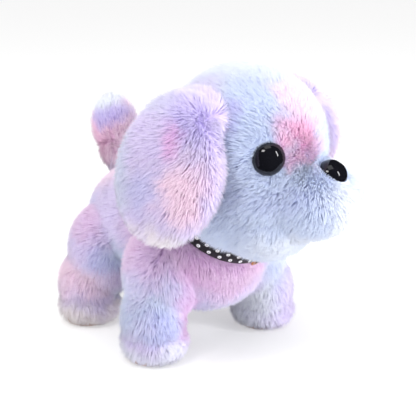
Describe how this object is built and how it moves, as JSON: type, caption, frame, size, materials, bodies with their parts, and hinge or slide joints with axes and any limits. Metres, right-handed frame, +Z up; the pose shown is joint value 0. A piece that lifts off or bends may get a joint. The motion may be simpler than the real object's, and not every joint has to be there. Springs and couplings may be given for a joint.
{
  "type": "interactive plush pet",
  "caption": "Plush puppy with pastel pile over a battery mechanism: swinging legs, turning and nodding head, flop ears, wagging tail, dotted ribbon collar.",
  "frame": {"origin": "on the floor, under the middle of the whole puppy's length and width", "axes": "+Z up, the puppy faces -Y, +X is its left side"},
  "size_m": [0.1683, 0.2123, 0.1718],
  "materials": {
    "plush": "long pile, pastel tie-dye",
    "white_abs": "moulded",
    "door_abs": "moulded",
    "grey_abs": "moulded",
    "gear_acetal": "moulded acetal",
    "sole_rubber": "moulded",
    "black_gloss": "polished",
    "ribbon": "black satin ribbon with white dots",
    "gold": "rose gold plating",
    "steel": "zinc plated",
    "brass": "turned",
    "motor_can": "drawn can",
    "cell_jacket": "plain jacket",
    "plated_contact": "nickel plated",
    "board": "solder mask",
    "speaker_black": "moulded",
    "wire_red": "insulated lead"
  },
  "bodies": {
    "chassis": {"belly_chassis": "white_abs", "back_cover": "white_abs", "casing_screws": "steel", "battery_cells": "cell_jacket", "battery_contacts": "plated_contact", "circuit_board": "board", "speaker": "speaker_black", "switch_housing": "speaker_black", "wiring": "wire_red", "gearbox_plate_left": "white_abs", "gearbox_plate_right": "white_abs", "gear_axles": "steel", "motor": "motor_can", "shaft_bushes": "brass", "hip_pins": "steel", "neck_post": "grey_abs", "tail_pin": "steel", "body_plush": "plush", "collar_ribbon": "ribbon", "collar_clasp": "gold"},
    "battery_door": {"battery_door": "door_abs", "battery_door_screw": "steel"},
    "power_switch": {"switch_slider": "speaker_black"},
    "crank": {"crankshaft": "steel", "crank_gear": "gear_acetal", "crank_disc_left": "grey_abs", "crank_disc_right": "grey_abs"},
    "second_gear": {"second_gear": "gear_acetal"},
    "first_gear": {"first_gear": "gear_acetal"},
    "motor_pinion": {"motor_pinion": "gear_acetal"},
    "neck": {"neck_swivel": "grey_abs"},
    "head": {"nod_pin": "steel", "head_shell_front": "white_abs", "head_shell_back": "white_abs", "head_plush": "plush", "eye_left": "black_gloss", "eye_right": "black_gloss", "nose": "black_gloss", "eye_washers": "steel", "nose_washer": "steel"},
    "ear_left": {"ear_left": "plush"},
    "ear_right": {"ear_right": "plush"},
    "nod_drive": {"nod_collar": "gear_acetal", "nod_pushrod": "steel"},
    "tail": {"tail_lever": "grey_abs", "tail_plush": "plush"},
    "leg_front_left": {"leg_front_left": "grey_abs", "sole_front_left": "sole_rubber", "leg_plush_front_left": "plush"},
    "leg_front_right": {"leg_front_right": "grey_abs", "sole_front_right": "sole_rubber", "leg_plush_front_right": "plush"},
    "leg_hind_left": {"leg_hind_left": "grey_abs", "sole_hind_left": "sole_rubber", "leg_plush_hind_left": "plush"},
    "leg_hind_right": {"leg_hind_right": "grey_abs", "sole_hind_right": "sole_rubber", "leg_plush_hind_right": "plush"}
  },
  "joints": [
    {"name": "front_right_leg_swing", "type": "hinge", "parent": "chassis", "child": "leg_front_right", "pos_m": [0, -0.0082, 0.058], "axis": [1, 0, 0], "range_deg": [-7, 7]},
    {"name": "front_left_leg_swing", "type": "hinge", "parent": "chassis", "child": "leg_front_left", "pos_m": [0, -0.0082, 0.058], "axis": [1, 0, 0], "range_deg": [-7, 7]},
    {"name": "hind_right_leg_swing", "type": "hinge", "parent": "chassis", "child": "leg_hind_right", "pos_m": [0, 0.0558, 0.058], "axis": [1, 0, 0], "range_deg": [-7, 7]},
    {"name": "hind_left_leg_swing", "type": "hinge", "parent": "chassis", "child": "leg_hind_left", "pos_m": [0, 0.0558, 0.058], "axis": [1, 0, 0], "range_deg": [-7, 7]},
    {"name": "tail_wag", "type": "hinge", "parent": "chassis", "child": "tail", "pos_m": [0, 0.0693, 0.074], "axis": [0, 1, 0], "range_deg": [-14, 14]},
    {"name": "nod_rod_slide", "type": "slide", "parent": "chassis", "child": "nod_drive", "axis": [0, -0.4067, 0.9135], "range_m": [-0.001, 0.001]},
    {"name": "head_turn", "type": "hinge", "parent": "chassis", "child": "neck", "pos_m": [0, -0.03887, 0.12779], "axis": [0, -0.4067, 0.9135], "range_deg": [-30, 5]},
    {"name": "head_nod", "type": "hinge", "parent": "neck", "child": "head", "pos_m": [0, -0.03887, 0.12779], "axis": [0.8829, 0.4695, 0], "range_deg": [-5, 5]},
    {"name": "ear_left_flop", "type": "hinge", "parent": "head", "child": "ear_left", "pos_m": [0.04103, -0.01592, 0.15779], "axis": [0.4695, -0.8829, 0], "range_deg": [0, 30]},
    {"name": "ear_right_flop", "type": "hinge", "parent": "head", "child": "ear_right", "pos_m": [-0.04197, -0.06005, 0.15779], "axis": [-0.4695, 0.8829, 0], "range_deg": [0, 40]},
    {"name": "crank_spin", "type": "hinge", "parent": "chassis", "child": "crank", "pos_m": [0, 0.0238, 0.058], "axis": [1, 0, 0], "continuous": true},
    {"name": "second_gear_spin", "type": "hinge", "parent": "chassis", "child": "second_gear", "pos_m": [0, 0.0168, 0.06457], "axis": [1, 0, 0], "continuous": true},
    {"name": "first_gear_spin", "type": "hinge", "parent": "chassis", "child": "first_gear", "pos_m": [0, 0.0218, 0.07205], "axis": [1, 0, 0], "continuous": true},
    {"name": "motor_spin", "type": "hinge", "parent": "chassis", "child": "motor_pinion", "pos_m": [0, 0.0304, 0.0694], "axis": [1, 0, 0], "continuous": true},
    {"name": "switch_slide", "type": "slide", "parent": "chassis", "child": "power_switch", "axis": [1, 0, 0], "range_m": [0, 0.004]},
    {"name": "battery_door_removal", "type": "slide", "parent": "chassis", "child": "battery_door", "axis": [0, 0, -1], "range_m": [0, 0.02]}
  ],
  "couplings": [
    {"joint": "front_left_leg_swing", "follows": "front_right_leg_swing", "ratio": -1},
    {"joint": "hind_right_leg_swing", "follows": "front_right_leg_swing", "ratio": -1},
    {"joint": "hind_left_leg_swing", "follows": "front_right_leg_swing", "ratio": 1},
    {"joint": "tail_wag", "follows": "front_right_leg_swing", "ratio": 2},
    {"joint": "head_nod", "follows": "front_right_leg_swing", "ratio": 0.7},
    {"joint": "nod_rod_slide", "follows": "front_right_leg_swing", "m_per_rad": 0.008021},
    {"joint": "second_gear_spin", "follows": "crank_spin", "ratio": -3},
    {"joint": "first_gear_spin", "follows": "crank_spin", "ratio": 12},
    {"joint": "motor_spin", "follows": "crank_spin", "ratio": -48}
  ]
}
